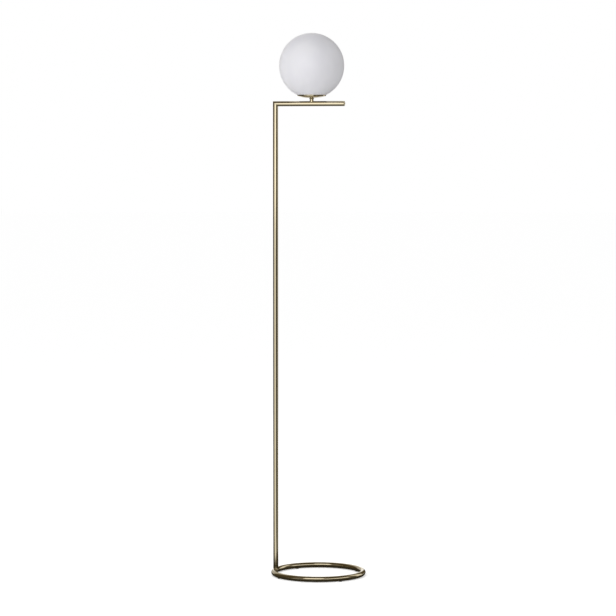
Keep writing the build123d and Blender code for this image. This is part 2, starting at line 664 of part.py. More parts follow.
def bulb_housing():
    side, low, high = housing_side(0, BULB_CAP_TOP_Z, BULB_JOINT_Z)
    outer = lathe([side, Polyline(high, (0, high[1]), (0, low[1]), low)])
    spigot_radius = BULB_BORE_RADIUS - THREAD_CLEARANCE
    outer += rod(spigot_radius, BULB_CAP_TOP_Z - BULB_SPIGOT_HEIGHT, BULB_CAP_TOP_Z, STEM_X)
    side, low, high = housing_side(BULB_HOUSING_WALL, BULB_CAP_TOP_Z, BULB_JOINT_Z)
    inner = lathe([side, Polyline(high, (0, high[1]), (0, low[1]), low)])
    bore_z = BULB_CAP_TOP_Z - BULB_SPIGOT_HEIGHT - OVERCUT
    bore = rod(spigot_radius - BULB_HOUSING_WALL, bore_z, BULB_CAP_TOP_Z + OVERCUT, STEM_X)
    return outer - inner - bore


def bulb_dome():
    dome = Sphere(BULB_RADIUS) - Sphere(BULB_RADIUS - BULB_WALL)
    above = (Align.CENTER, Align.CENTER, Align.MIN)
    dome &= Pos(0, 0, -BULB_JOINT_DROP) * Box(BULB_DIAMETER, BULB_DIAMETER, BULB_DIAMETER, align=above)
    return Pos(STEM_X, 0, BULB_CENTRE_Z) * dome


def led_board_radius():
    return BULB_JOINT_RADIUS - BULB_WALL - BULB_HOUSING_WALL / 2


def led_board():
    return rod(led_board_radius(), BULB_JOINT_Z, BULB_JOINT_Z + LED_BOARD_THICKNESS, STEM_X)


def led_chips():
    low = (Align.CENTER, Align.CENTER, Align.MIN)
    chip = Pos(LED_CIRCLE_DIAMETER / 2, 0, 0) * Box(LED_SIZE, LED_SIZE, LED_HEIGHT, align=low)
    chips = Compound(on_circle(chip, LED_COUNT))
    return Pos(STEM_X, 0, BULB_JOINT_Z + LED_BOARD_THICKNESS) * chips


def led_driver():
    hanging = (Align.CENTER, Align.CENTER, Align.MAX)
    return Pos(STEM_X, 0, BULB_JOINT_Z) * Box(DRIVER_WIDTH, DRIVER_THICKNESS, DRIVER_HEIGHT, align=hanging)


# ---------------------------------------------------------------- write one file per piece
PIECES = {
    "base_ring": base_ring,
    "floor_pads": floor_pads,
    "foot_screw": foot_screw,
    "foot_plug": foot_plug,
    "pole_lower": pole_lower,
    "pole_coupler_lower": lambda: pole_coupler(1),
    "pole_middle": pole_middle,
    "pole_coupler_upper": lambda: pole_coupler(2),
    "pole_upper": pole_upper,
    "arm_tube": arm_tube,
    "arm_end_cap": arm_end_cap,
    "cable_bush": cable_bush,
    "supply_cable": supply_cable,
    "core_wires": core_wires,
    "stem_socket": stem_socket,
    "threaded_nipple": threaded_nipple,
    "stem_sleeve": stem_sleeve,
    "saucer": saucer,
    "rim_gasket": rim_gasket,
    "lock_washer": lock_washer,
    "nipple_nut": nipple_nut,
    "spring_clip": spring_clip,
    "glass_globe": glass_globe,
    "holder_base": holder_base,
    "holder_body": holder_body,
    "contact_block": contact_block,
    "terminal_screws": terminal_screws,
    "screw_shell": screw_shell,
    "centre_contact": centre_contact,
    "bulb_contact": bulb_contact,
    "bulb_insulator": bulb_insulator,
    "bulb_cap": bulb_cap,
    "bulb_housing": bulb_housing,
    "bulb_dome": bulb_dome,
    "led_board": led_board,
    "led_chips": led_chips,
    "led_driver": led_driver,
}

os.makedirs("parts", exist_ok=True)
for name, make in PIECES.items():
    export_step(make(), os.path.join("parts", name + ".step"))
print("globe centre", round(GLOBE_Z, 2), "top", round(GLOBE_Z + GLOBE_RADIUS, 2))
print("saucer rim radius", round(SAUCER_RIM_RADIUS, 2), "mouth outer radius", round(MOUTH_OUTER_RADIUS, 2))
print("bulb top", round(BULB_CENTRE_Z + BULB_RADIUS, 2), "holder top", round(HOLDER_TOP_Z, 2))
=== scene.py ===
import json
import math

import bmesh
import bpy
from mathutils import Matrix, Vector


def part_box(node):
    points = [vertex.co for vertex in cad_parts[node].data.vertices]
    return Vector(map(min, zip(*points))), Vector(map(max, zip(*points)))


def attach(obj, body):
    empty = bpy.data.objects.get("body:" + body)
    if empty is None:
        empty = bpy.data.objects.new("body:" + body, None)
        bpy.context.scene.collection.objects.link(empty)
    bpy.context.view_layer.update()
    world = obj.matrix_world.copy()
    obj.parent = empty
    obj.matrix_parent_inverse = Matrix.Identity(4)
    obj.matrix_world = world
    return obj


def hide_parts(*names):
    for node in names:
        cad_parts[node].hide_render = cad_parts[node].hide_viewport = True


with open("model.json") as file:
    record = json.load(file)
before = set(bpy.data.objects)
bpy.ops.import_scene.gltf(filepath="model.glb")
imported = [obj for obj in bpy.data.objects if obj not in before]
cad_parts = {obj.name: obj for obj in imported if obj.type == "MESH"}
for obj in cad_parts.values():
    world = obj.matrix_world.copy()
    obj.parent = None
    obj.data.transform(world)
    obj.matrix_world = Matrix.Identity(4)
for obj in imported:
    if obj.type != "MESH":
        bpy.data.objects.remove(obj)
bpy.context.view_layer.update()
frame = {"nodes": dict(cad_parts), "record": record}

# ---------------------------------------------------------------- places from the frame, in metres
MM = 0.001

GLOBE_LOW, GLOBE_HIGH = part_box("glass_globe")
STEM_X = (GLOBE_LOW.x + GLOBE_HIGH.x) / 2
GLOBE_RADIUS = (GLOBE_HIGH.x - GLOBE_LOW.x) / 2
GLOBE_Z = GLOBE_HIGH.z - GLOBE_RADIUS
MOUTH_Z = GLOBE_LOW.z
SAUCER_LOW, SAUCER_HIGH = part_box("saucer")
RING_LOW, RING_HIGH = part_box("base_ring")

# ---------------------------------------------------------------- the photograph's view
CAMERA_AZIMUTH = 15.98  # degrees, 0 looks along +Y
CAMERA_ELEVATION = 3.71
CAMERA_DISTANCE = 8.107
CAMERA_TARGET = Vector((-0.0311, -0.0089, 0.8311))
CAMERA_SENSOR = 36.0  # mm
CAMERA_LENS = 153.51  # mm

# ---------------------------------------------------------------- sizes of details that only show here
EDGE_ROUND = 0.25 * MM
MITRE_ROUND = 0.12 * MM
EDGE_SEGMENTS = 2
SHARP_ANGLE = math.radians(30)
FLAT_ANGLE = math.radians(0.5)  # faces that turn less than this are one face
WELD_DISTANCE = 0.002 * MM
FLAT_FACES_WEIGHT = 100  # from 1 to 100, where 100 lets the largest faces set the shading
CAD_NORMALS = "custom_normal"  # the attribute that a loaded node keeps its shading in
ROUND_STEPS = 96  # round a turned piece

GLASS_WALL = 3.0 * MM
GLASS_RIM_ROUND = 0.6 * MM
GLASS_ROUND_STEPS = 144
GLASS_ARC_STEPS = 90
GLASS_POLE_GAP = 0.05  # degrees, so that the skin closes on a tiny ring

THREAD_PITCH = 3.62 * MM  # the bulb's Edison thread
THREAD_DEPTH = 0.85 * MM
CAP_WALL = 0.4 * MM
CAP_COLLAR = 8.5 * MM
CAP_STEPS = 88  # from its lower end to its upper end
SHELL_DEPTH = 0.6 * MM
SHELL_FLANGE = 3.5 * MM
SHELL_PLAIN = 1.0 * MM
SHELL_STEPS = 80
NIPPLE_PITCH = 1.0 * MM
NIPPLE_DEPTH = 0.45 * MM
NIPPLE_WALL = 1.0 * MM
NIPPLE_ROUND_STEPS = 48
NIPPLE_STEPS_A_TURN = 6

BODY_OF = {name: body for body, names in frame["record"]["behaviour"]["bodies"].items() for name in names}
SLOT_OF = {part["node"]: part["material_slot"] for part in frame["record"]["subparts"]}


def direction(azimuth, elevation):
    """The unit vector from the object towards a place at these angles, in degrees."""
    a = math.radians(azimuth)
    e = math.radians(elevation)
    return Vector((math.sin(a) * math.cos(e), -math.cos(a) * math.cos(e), math.sin(e)))


# ---------------------------------------------------------------- shader nodes
class Graph:
    """A node tree that is filled by short calls."""

    def __init__(self, owner):
        owner.use_nodes = True
        self.tree = owner.node_tree
        self.tree.nodes.clear()

    def node(self, kind, inputs=None, **settings):
        """Adds a node. inputs maps a socket's name or number to a value or to another node's output."""
        made = self.tree.nodes.new("ShaderNode" + kind)
        for name, value in settings.items():
            setattr(made, name, value)
        for name, value in (inputs or {}).items():
            self.join(made.inputs[name], value)
        return made

    def join(self, socket, value):
        if isinstance(value, bpy.types.NodeSocket):
            self.tree.links.new(value, socket)
        else:
            socket.default_value = value

    def math(self, operation, first, second=0.0):
        return self.node("Math", {0: first, 1: second}, operation=operation).outputs[0]

    def vector(self, operation, first, second=(0.0, 0.0, 0.0)):
        made = self.node("VectorMath", {0: first, 1: second}, operation=operation)
        return made.outputs["Value" if operation in ("DOT_PRODUCT", "LENGTH") else "Vector"]

    def smooth(self, value, low, high, to_low=0.0, to_high=1.0):
        """A soft step from to_low to to_high, as the value goes from low to high."""
        sockets = {"Value": value, "From Min": low, "From Max": high, "To Min": to_low, "To Max": to_high}
        return self.node("MapRange", sockets, interpolation_type="SMOOTHSTEP").outputs["Result"]

    def mix(self, factor, first, second):
        """Mixes two colours."""
        made = self.node("Mix", data_type="RGBA")
        self.join(made.inputs["Factor"], factor)
        self.join(made.inputs[6], first)
        self.join(made.inputs[7], second)
        return made.outputs[2]

    def noise(self, vector, scale, detail=3.0, roughness=0.5, w=None):
        """Fractal noise. w, where it is given, is a fourth coordinate."""
        sockets = {"Vector": vector, "Scale": scale, "Detail": detail, "Roughness": roughness}
        if w is None:
            return self.node("TexNoise", sockets).outputs["Fac"]
        made = self.node("TexNoise", sockets, noise_dimensions="4D")
        self.join(made.inputs["W"], w)
        return made.outputs["Fac"]

    def bump(self, height, strength, distance, normal=None):
        made = self.node("Bump", {"Height": height, "Strength": strength, "Distance": distance})
        if normal is not None:
            self.join(made.inputs["Normal"], normal)
        return made.outputs["Normal"]

    def place(self):
        """The point on the piece, in metres."""
        return self.node("TexCoord").outputs["Object"]

    def surface(self, inputs):
        shader = self.node("BsdfPrincipled", inputs)
        self.node("OutputMaterial", {"Surface": shader.outputs["BSDF"]})
        return shader


def rgba(colour):
    return (*colour, 1.0)


def new_material(name):
    material = bpy.data.materials.new(name)
    return material, Graph(material)


WEAR_SAMPLES = 4
UNWORN = 0.999  # the cosine between a face and its rounded edge, where wear starts
WORN = 0.93  # and where it is whole


def edge_wear(graph, radius):
    """1 on edges that hands and cloths rub, 0 on open faces."""
    rounded = graph.node("Bevel", {"Radius": radius}, samples=WEAR_SAMPLES).outputs["Normal"]
    flat = graph.node("NewGeometry").outputs["Normal"]
    return graph.smooth(graph.vector("DOT_PRODUCT", rounded, flat), low=UNWORN, high=WORN)


# ---------------------------------------------------------------- brass
BRASS_COLOUR = (0.52, 0.455, 0.312)
BRASS_TARNISH = (0.43, 0.36, 0.22)
BRASS_WORN = (0.60, 0.54, 0.40)
LINES_ACROSS = 1800.0  # polishing lines, per metre
LINES_ALONG = 12.0
GRAIN_DETAIL = 3.0
GRAIN_ROUGHNESS = 0.55
# the most that each shows in the colour, from 0 to 1
TARNISH_MOST = 0.45
SPOTS_MOST = 0.30
STREAKS_MOST = 0.28
BRASS_EDGES_MOST = 0.60
BRASS_EDGES_WIDTH = 0.5 * MM
SMUDGE_SHIFT = (3.1, 1.7, 0.4)  # metres, so that the smudges don't follow the clouds


def straight_grain(graph, along):
    """Polishing lines along X or Z."""
    stretch = [LINES_ACROSS] * 3
    stretch["XYZ".index(along)] = LINES_ALONG
    scaled = graph.vector("MULTIPLY", graph.place(), tuple(stretch))
    return graph.noise(scaled, scale=1.0, detail=GRAIN_DETAIL, roughness=GRAIN_ROUGHNESS)


def round_grain(graph, axis_x, mean_radius):
    """Polishing lines that run in circles about an upright axis."""
    centred = graph.vector("SUBTRACT", graph.place(), (axis_x, 0.0, 0.0))
    x, y, z = graph.node("SeparateXYZ", {0: centred}).outputs[:3]
    squares = graph.math("ADD", graph.math("MULTIPLY", x, x), graph.math("MULTIPLY", y, y))
    radius = graph.math("SQRT", squares)
    turn = mean_radius * LINES_ALONG
    cosine = graph.math("MULTIPLY", graph.math("DIVIDE", x, radius), turn)
    sine = graph.math("MULTIPLY", graph.math("DIVIDE", y, radius), turn)
    height = graph.math("MULTIPLY", z, LINES_ACROSS)
    vector = graph.node("CombineXYZ", {0: cosine, 1: sine, 2: height}).outputs[0]
    across = graph.math("MULTIPLY", radius, LINES_ACROSS)
    return graph.noise(vector, scale=1.0, detail=GRAIN_DETAIL, roughness=GRAIN_ROUGHNESS, w=across)


def brass(name, grain):
    """Pale lacquered brass: polishing lines, faint waviness, hand marks and tarnish.

    grain(graph) makes the lines.
    """
    material, graph = new_material(name)
    place = graph.place()
    lines = grain(graph)
    clouds = graph.noise(place, scale=11.0, detail=4.0, roughness=0.55)
    specks = graph.noise(place, scale=750.0, detail=2.0)
    waves = graph.noise(place, scale=17.0, detail=1.0)
    moved = graph.vector("ADD", place, SMUDGE_SHIFT)
    smudges = graph.noise(moved, scale=30.0, detail=4.0, roughness=0.65)

    tarnish = graph.math("MULTIPLY", graph.smooth(clouds, low=0.50, high=0.80), TARNISH_MOST)
    spots = graph.math("MULTIPLY", graph.smooth(specks, low=0.74, high=0.82), SPOTS_MOST)
    streaks = graph.math("MULTIPLY", graph.smooth(lines, low=0.40, high=0.70), STREAKS_MOST)
    worn = graph.math("MULTIPLY", edge_wear(graph, BRASS_EDGES_WIDTH), BRASS_EDGES_MOST)
    colour = graph.mix(graph.math("MAXIMUM", tarnish, spots), rgba(BRASS_COLOUR), rgba(BRASS_TARNISH))
    colour = graph.mix(streaks, colour, rgba(BRASS_WORN))
    colour = graph.mix(worn, colour, rgba(BRASS_WORN))

    lined = graph.smooth(lines, low=0.25, high=0.75, to_low=0.075, to_high=0.125)
    rough = graph.math("ADD", lined, graph.smooth(smudges, low=0.52, high=0.78, to_high=0.06))
    normal = graph.bump(waves, strength=0.20, distance=0.3 * MM)
    normal = graph.bump(lines, strength=0.03, distance=0.01 * MM, normal=normal)
    graph.surface({
        "Base Color": colour,
        "Metallic": 1.0,
        "Roughness": rough,
        "Coat Weight": 0.15,
        "Coat Roughness": 0.06,
        "Coat IOR": 1.48,
        "Normal": normal,
    })
    return material


# ---------------------------------------------------------------- glass
OPAL_COLOUR = (0.80, 0.795, 0.83)
OPAL_SHADE = (0.75, 0.745, 0.785)
OPAL_STREAKS = (14.0, 14.0, 3.0)  # per metre: they run up and down, as the glass was blown


def opal_glass(name):
    """Cased opal glass with an etched, silky skin: dense white, with a faint drift and fine pits."""
    material, graph = new_material(name)
    place = graph.place()
    drift = graph.noise(place, scale=9.0, detail=2.0)
    streaks = graph.noise(graph.vector("MULTIPLY", place, OPAL_STREAKS), scale=1.0, detail=3.0)
    etched = graph.noise(place, scale=2400.0, detail=2.0)
    ripple = graph.noise(place, scale=11.0, detail=1.0)
    thick = graph.smooth(graph.math("ADD", drift, streaks), low=0.8, high=1.25)
    colour = graph.mix(thick, rgba(OPAL_COLOUR), rgba(OPAL_SHADE))
    normal = graph.bump(ripple, strength=0.08, distance=1.0 * MM)
    normal = graph.bump(etched, strength=0.12, distance=0.03 * MM, normal=normal)
    graph.surface({
        "Base Color": colour,
        "Roughness": graph.smooth(etched, low=0.3, high=0.7, to_low=0.40, to_high=0.50),
        "IOR": 1.45,
        "Specular IOR Level": 0.35,
        "Subsurface Weight": 0.35,
        "Subsurface Radius": (0.9, 0.9, 1.0),
        "Subsurface Scale": 0.004,
        "Normal": normal,
    })
    return material


# ---------------------------------------------------------------- everything else
# the most that each shows in the colour, from 0 to 1
DUST_MOST = 0.3
RUBBED_MOST = 0.5
RUBBED_PALER = 0.6  # a share of the mottling
RUBBED_WIDTH = 0.4 * MM
BRIGHT_MOST = 0.7
BRIGHT_WIDTH = 0.3 * MM


def moulded(name, colour, roughness, grain_scale=1400.0, grain=0.15, mottling=0.12, coat=0.0, level=0.5):
    """Plastic, rubber, ceramic or lacquer: a fine skin, a faint drift in colour and rubbed edges."""
    material, graph = new_material(name)
    place = graph.place()
    skin = graph.noise(place, scale=grain_scale, detail=3.0, roughness=0.6)
    drift = graph.noise(place, scale=60.0, detail=4.0, roughness=0.6)
    grime = graph.noise(place, scale=420.0, detail=5.0, roughness=0.7)
    dust = graph.math("MULTIPLY", graph.smooth(grime, low=0.58, high=0.75), DUST_MOST)
    rubbed = graph.math("MULTIPLY", edge_wear(graph, RUBBED_WIDTH), RUBBED_MOST)
    darker = tuple(c * (1.0 - mottling) for c in colour)
    lighter = tuple(c + (1.0 - c) * mottling * RUBBED_PALER for c in colour)
    tint = graph.mix(graph.smooth(drift, low=0.3, high=0.7), rgba(darker), rgba(colour))
    tint = graph.mix(graph.math("MAXIMUM", rubbed, dust), tint, rgba(lighter))
    smoother = roughness * 0.88
    rougher = min(1.0, roughness * 1.15)
    graph.surface({
        "Base Color": tint,
        "Roughness": graph.smooth(drift, low=0.3, high=0.75, to_low=smoother, to_high=rougher),
        "Specular IOR Level": level,
        "Coat Weight": coat,
        "Coat Roughness": 0.06,
        "Normal": graph.bump(skin, strength=grain, distance=0.05 * MM),
    })
    return material


def bare_metal(name, colour, roughness, stretch=(900.0, 900.0, 60.0), stain=0.2):
    """Plated, rolled or turned metal: tool lines, cloudy stains and bright edges."""
    material, graph = new_material(name)
    place = graph.place()
    lines = graph.noise(graph.vector("MULTIPLY", place, stretch), scale=1.0, detail=4.0, roughness=0.65)
    clouds = graph.noise(place, scale=140.0, detail=5.0, roughness=0.65)
    worn = graph.math("MULTIPLY", edge_wear(graph, BRIGHT_WIDTH), BRIGHT_MOST)
    stained = tuple(c * (1.0 - stain) for c in colour)
    bright = tuple(min(1.0, c * 1.15) for c in colour)
    tint = graph.mix(graph.smooth(clouds, low=0.4, high=0.75), rgba(colour), rgba(stained))
    tint = graph.mix(worn, tint, rgba(bright))
    smoother = roughness * 0.75
    rougher = roughness * 1.3
    graph.surface({
        "Base Color": tint,
        "Metallic": 1.0,
        "Roughness": graph.smooth(lines, low=0.25, high=0.8, to_low=smoother, to_high=rougher),
        "Normal": graph.bump(lines, strength=0.2, distance=0.03 * MM),
    })
    return material


# what each slot of the record looks like, as moulded() and bare_metal() take it
MOULDED = {
    "black_rubber": dict(
        colour=(0.022, 0.022, 0.023), roughness=0.78, grain_scale=900.0, grain=0.35, mottling=0.25, level=0.35
    ),
    "black_plastic": dict(
        colour=(0.018, 0.018, 0.019), roughness=0.42, grain_scale=1600.0, grain=0.30, mottling=0.25
    ),
    "flex_sheath": dict(
        colour=(0.030, 0.030, 0.031), roughness=0.55, grain_scale=1200.0, grain=0.20, mottling=0.25
    ),
    "core_insulation": dict(colour=(0.20, 0.075, 0.025), roughness=0.35, grain_scale=1500.0, grain=0.10),
    "clear_silicone": dict(
        colour=(0.66, 0.66, 0.65), roughness=0.38, grain_scale=1100.0, grain=0.10, mottling=0.08
    ),
    "holder_plastic": dict(
        colour=(0.70, 0.69, 0.65), roughness=0.34, grain_scale=1700.0, grain=0.16, mottling=0.06
    ),
    "porcelain": dict(
        colour=(0.74, 0.72, 0.67), roughness=0.22, grain_scale=300.0, grain=0.10, mottling=0.08, coat=0.6
    ),
    "black_glass": dict(
        colour=(0.012, 0.012, 0.016), roughness=0.12, grain_scale=500.0, grain=0.15, mottling=0.2, coat=0.4
    ),
    "bulb_plastic": dict(
        colour=(0.76, 0.76, 0.75), roughness=0.40, grain_scale=1800.0, grain=0.14, mottling=0.05
    ),
    "bulb_diffuser": dict(
        colour=(0.80, 0.80, 0.785), roughness=0.46, grain_scale=2200.0, grain=0.10, mottling=0.04
    ),
    "white_board": dict(colour=(0.76, 0.76, 0.74), roughness=0.35, grain_scale=800.0, grain=0.12),
    "led_yellow": dict(colour=(0.75, 0.52, 0.07), roughness=0.30, grain_scale=1500.0, grain=0.12),
    "green_board": dict(
        colour=(0.012, 0.085, 0.03), roughness=0.32, grain_scale=700.0, grain=0.2, mottling=0.3
    ),
}
BARE_METALS = {
    "zinc_steel": dict(colour=(0.52, 0.53, 0.55), roughness=0.34),
    "spring_steel": dict(colour=(0.44, 0.45, 0.47), roughness=0.24, stretch=(60.0, 900.0, 900.0)),
    "raw_brass": dict(colour=(0.62, 0.45, 0.17), roughness=0.33, stretch=(900.0, 900.0, 900.0)),
    "nickel": dict(colour=(0.60, 0.57, 0.51), roughness=0.22, stretch=(90.0, 90.0, 900.0), stain=0.15),
}


def make_materials():
    """One material for each of the record's slots, and brass four times, for its four ways of polishing."""
    ring_radius = (RING_HIGH.x - RING_LOW.x) / 2 - (RING_HIGH.z - RING_LOW.z) / 2
    saucer_radius = (SAUCER_HIGH.x - SAUCER_LOW.x) / 2
    brasses = {
        "pole": brass("brass_drawn_upright", lambda graph: straight_grain(graph, "Z")),
        "arm": brass("brass_drawn_level", lambda graph: straight_grain(graph, "X")),
        "ring": brass("brass_bent", lambda graph: round_grain(graph, 0.0, ring_radius)),
        "spun": brass("brass_spun", lambda graph: round_grain(graph, STEM_X, saucer_radius)),
    }
    slots = {"opal_glass": opal_glass("opal_glass")}
    for slot, look in MOULDED.items():
        slots[slot] = moulded(slot, **look)
    for slot, look in BARE_METALS.items():
        slots[slot] = bare_metal(slot, **look)
    return slots, brasses


SLOTS, BRASSES = make_materials()
BRASS_WAY = {
    "base_ring": "ring",
    "pole_lower": "pole",
    "pole_middle": "pole",
    "pole_upper": "pole",
    "arm_tube": "arm",
    "arm_end_cap": "arm",
    "stem_sleeve": "spun",
    "saucer": "spun",
}


def material_of(node):
    if SLOT_OF[node] == "brass":
        return BRASSES[BRASS_WAY[node]]
    return SLOTS[SLOT_OF[node]]


# ---------------------------------------------------------------- meshes
def add_piece(name, mesh, node):
    """Shows a mesh in place of a CAD node, on the node's body and in its finish."""
    mesh.materials.clear()
    mesh.materials.append(material_of(node))
    piece = bpy.data.objects.new(name, mesh)
    bpy.context.scene.collection.objects.link(piece)
    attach(piece, BODY_OF[node])
    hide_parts(node)
    return piece


def shade(mesh, angle=SHARP_ANGLE):
    mesh.shade_smooth()
    mesh.set_sharp_from_angle(angle=angle)


def softened(node, radius=EDGE_ROUND):
    """The node's own shape with its sharp edges rounded, as real edges are."""
    shape = bmesh.new()
    shape.from_mesh(frame["nodes"][node].data)
    bmesh.ops.remove_doubles(shape, verts=shape.verts, dist=WELD_DISTANCE)
    bmesh.ops.dissolve_limit(
        shape, angle_limit=FLAT_ANGLE, verts=shape.verts, edges=shape.edges, delimit={"NORMAL"}
    )
    sharp = [e for e in shape.edges if e.is_manifold and e.calc_face_angle(0.0) > SHARP_ANGLE]
    bmesh.ops.bevel(
        shape,
        geom=sharp,
        offset=radius,
        segments=EDGE_SEGMENTS,
        profile=0.5,
        affect="EDGES",
        clamp_overlap=True,
    )
    mesh = bpy.data.meshes.new(node)
    shape.to_mesh(mesh)
    shape.free()
    if CAD_NORMALS in mesh.attributes:
        mesh.attributes.remove(mesh.attributes[CAD_NORMALS])
    shade(mesh)
    piece = add_piece(node + ".softened", mesh, node)
    weighted = piece.modifiers.new("flat faces keep their shading", "WEIGHTED_NORMAL")
    weighted.weight = FLAT_FACES_WEIGHT
    weighted.keep_sharp = True
    return piece


def arc(centre, radius, start, end, steps):
    """Points on an arc in (radius, height). Angles are in degrees above the level outward line."""
    angles = [math.radians(start + (end - start) * i / steps) for i in range(steps + 1)]
    return [(centre[0] + radius * math.cos(a), centre[1] + radius * math.sin(a)) for a in angles]


def turned(name, node, outline, steps=ROUND_STEPS, wobble=None):
    """Turns a closed (radius, height) outline about the stem's axis.

    wobble(angle, r, z), where it is given, says the real radius there.
    """
    mesh = bpy.data.meshes.new(name)
    vertices = []
    for i in range(steps):
        angle = 2 * math.pi * i / steps
        for r, z in outline:
            real = wobble(angle, r, z) if wobble else r
            vertices.append((STEM_X + real * math.cos(angle), real * math.sin(angle), z))
    count = len(outline)
    faces = []
    for i in range(steps):
        for j in range(count):
            a = i * count + j
            b = i * count + (j + 1) % count
            c = (i + 1) % steps * count + (j + 1) % count
            d = (i + 1) % steps * count + j
            faces.append((a, d, c, b))
    mesh.from_pydata(vertices, [], faces)
    shape = bmesh.new()
    shape.from_mesh(mesh)
    bmesh.ops.recalc_face_normals(shape, faces=shape.faces)
    shape.to_mesh(mesh)
    shape.free()
    shade(mesh)
    return add_piece(name, mesh, node)


def glass_globe():
    """Two spheres, one in the other, joined by a ground rim with its edges taken off."""
    inner_radius = GLOBE_RADIUS - GLASS_WALL
    drop = GLOBE_Z - MOUTH_Z
    outer_low = -math.degrees(math.asin(drop / GLOBE_RADIUS))
    inner_low = -math.degrees(math.asin(drop / inner_radius))
    outer_trim = math.degrees(GLASS_RIM_ROUND / GLOBE_RADIUS)
    inner_trim = math.degrees(GLASS_RIM_ROUND / inner_radius)
    centre = (0.0, GLOBE_Z)
    top = 90.0 - GLASS_POLE_GAP
    outer = arc(centre, GLOBE_RADIUS, top, outer_low + outer_trim, GLASS_ARC_STEPS)
    inner = arc(centre, inner_radius, inner_low + inner_trim, top, GLASS_ARC_STEPS)
    outer_edge = GLOBE_RADIUS * math.cos(math.radians(outer_low)) - GLASS_RIM_ROUND
    inner_edge = inner_radius * math.cos(math.radians(inner_low)) + GLASS_RIM_ROUND
    outline = [*outer, (outer_edge, MOUTH_Z), (inner_edge, MOUTH_Z), *inner]
    return turned("globe.blown", "glass_globe", outline, steps=GLASS_ROUND_STEPS)


def thread_radius(low, high, pitch, depth):
    """A wobble that winds a rounded thread between two heights. depth goes inward, and fades at both ends."""

    def real(angle, r, z):
        phase = 2 * math.pi * (z - low) / pitch - angle
        ends = min(1.0, max(0.0, (z - low) / pitch), max(0.0, (high - z) / pitch))
        return r - depth * ends * (0.5 - 0.5 * math.cos(phase))

    return real


def stepped(radius, low, high, steps):
    return [(radius, low + (high - low) * i / steps) for i in range(steps + 1)]


def bulb_cap():
    """A thin nickel sleeve with a rolled thread below its plain collar."""
    low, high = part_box("bulb_cap")
    outer = (high.x - low.x) / 2
    wall = stepped(outer, low.z, high.z, CAP_STEPS)
    bore = stepped(outer - CAP_WALL, low.z, high.z, CAP_STEPS)
    real = thread_radius(low.z, high.z - CAP_COLLAR, THREAD_PITCH, THREAD_DEPTH)
    return turned("bulb_cap.rolled", "bulb_cap", [*wall, *reversed(bore)], wobble=real)


def screw_shell():
    """The holder's nickel shell: its thread is pressed outward, so that the bulb's cap stays clear of it."""
    low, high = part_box("screw_shell")
    outer = (high.x - low.x) / 2
    bore = outer - CAP_WALL
    floor = low.z + CAP_WALL
    wall = stepped(outer, low.z, high.z, SHELL_STEPS)
    inside = stepped(bore, floor, high.z, SHELL_STEPS)
    flange = [(bore - SHELL_FLANGE, floor), (bore - SHELL_FLANGE, low.z)]
    real = thread_radius(low.z + SHELL_PLAIN, high.z, THREAD_PITCH, -SHELL_DEPTH)
    return turned("screw_shell.rolled", "screw_shell", [*wall, *reversed(inside), *flange], wobble=real)


def threaded_nipple():
    """A steel tube with a fine thread from end to end."""
    low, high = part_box("threaded_nipple")
    outer = (high.x - low.x) / 2
    turns = (high.z - low.z) / NIPPLE_PITCH
    wall = stepped(outer, low.z, high.z, round(turns * NIPPLE_STEPS_A_TURN))
    bore = [(outer - NIPPLE_WALL, high.z), (outer - NIPPLE_WALL, low.z)]
    real = thread_radius(low.z, high.z, NIPPLE_PITCH, NIPPLE_DEPTH)

    def outside_only(angle, r, z):
        return real(angle, r, z) if r > outer - NIPPLE_WALL / 2 else r

    name = "threaded_nipple"
    return turned(name + ".cut", name, [*wall, *bore], steps=NIPPLE_ROUND_STEPS, wobble=outside_only)


REBUILT = {
    "glass_globe": glass_globe,
    "bulb_cap": bulb_cap,
    "screw_shell": screw_shell,
    "threaded_nipple": threaded_nipple,
}
MITRED = ("pole_upper", "arm_tube")  # their mitre is a hairline, so its edges are hardly rounded

for node in frame["nodes"]:
    if node in REBUILT:
        REBUILT[node]()
    else:
        softened(node, MITRE_ROUND if node in MITRED else EDGE_ROUND)


# ---------------------------------------------------------------- studio
WHITE = (1.0, 1.0, 1.0, 1.0)
FILL_LEVEL = 0.605  # the plain light from all round
# the lamps, as (name, azimuth, elevation, distance, size, power), in degrees, metres and watts
LAMPS = [
    ("key", -14.0, 20.0, 4.0, 2.8, 62.0),
    ("side", -100.0, 8.0, 4.0, 2.0, 9.0),
    ("back", 190.0, 30.0, 4.0, 2.8, 22.0),
]

# what the metal mirrors round the horizon, as (azimuth, half width, brightness)
HORIZON = [
    (-11.0, 37.0, 1.18),  # white paper in front, lit by the key
    (103.0, 29.0, 0.09),  # a dim reflector on the right
    (137.0, 13.0, 1.10),  # a bright strip, right and behind
    (-140.0, 18.0, 0.50),  # a dim one, left and behind
    (CAMERA_AZIMUTH + 180.0, 8.0, 1.0),  # the backdrop that the camera sees
]
HORIZON_SOFT = 7.0  # degrees
HORIZON_TOP = (54.0, 42.0)  # degrees: it is gone above the first and whole below the second
ROOM_COLOUR = (0.110, 0.086, 0.046)
FRONT_ABOVE_FLOOR = 0.12  # what is left of the front paper above the horizon
FRONT_EDGE = (0.8, -0.2)  # degrees, where the front paper gives way to that

# the soft boxes, as the metal mirrors them: curved sheets round the lamp,
# as (name, azimuth, half width, distance, lowest, highest, brightness), in degrees and metres
SOFT_BOXES = [
    ("key_box", 4.0, 26.0, 2.5, 0.85, 2.95, 2.10),
    ("high_box", 64.0, 34.0, 8.0, 1.60, 5.00, 1.50),  # too high for the pole: the ring mirrors it
]
BOX_SOFT = 8.0  # degrees, at its sides
BOX_EDGE = 0.35  # metres, at its top and bottom
BOX_STEPS = 24

